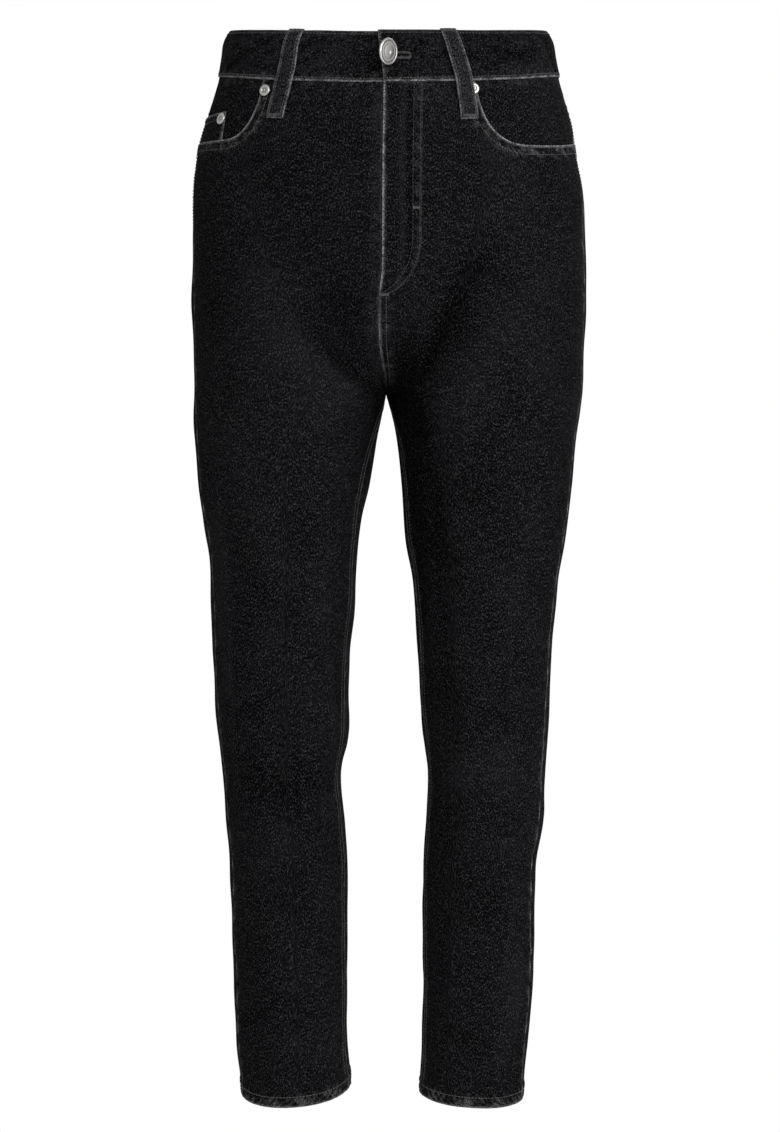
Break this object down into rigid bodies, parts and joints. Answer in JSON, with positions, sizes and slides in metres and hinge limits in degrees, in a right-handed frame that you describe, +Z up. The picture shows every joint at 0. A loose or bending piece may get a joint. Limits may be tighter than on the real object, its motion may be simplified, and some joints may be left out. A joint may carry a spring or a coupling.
{
  "type": "mom jeans",
  "caption": "High-rise tapered denim jeans filled out as worn and open at waist and hems, with a shank button, scooped front pockets, belt loops and patch back pockets.",
  "frame": {"origin": "middle of the waistband ring, about half way up the band, where the wearer's waist holds the jeans up", "axes": "+Z up along the wearer, -Y to the front, +X to the wearer's left"},
  "size_m": [0.3544, 0.2517, 0.9757],
  "materials": {
    "washed_black_denim": "matt washed twill with grey flecks and rubbed edges",
    "faded_denim_edge": "the same twill, more rubbed",
    "brushed_nickel": "satin silver"
  },
  "bodies": {
    "root": {"front_right": "washed_black_denim", "front_left": "washed_black_denim", "back_right": "washed_black_denim", "back_left": "washed_black_denim", "yoke_right": "washed_black_denim", "yoke_left": "washed_black_denim", "pocket_facing_right": "washed_black_denim", "pocket_facing_left": "washed_black_denim", "coin_pocket": "washed_black_denim", "back_pocket_right": "washed_black_denim", "back_pocket_left": "washed_black_denim", "waistband": "washed_black_denim", "fly_placket": "faded_denim_edge", "belt_loop_front_right": "faded_denim_edge", "belt_loop_front_left": "faded_denim_edge", "belt_loop_back_right": "faded_denim_edge", "belt_loop_back_left": "faded_denim_edge", "belt_loop_centre_back": "faded_denim_edge", "button": "brushed_nickel", "rivet_pocket_right": "brushed_nickel", "rivet_pocket_left": "brushed_nickel", "rivet_coin_pocket": "brushed_nickel"}
  },
  "joints": []
}
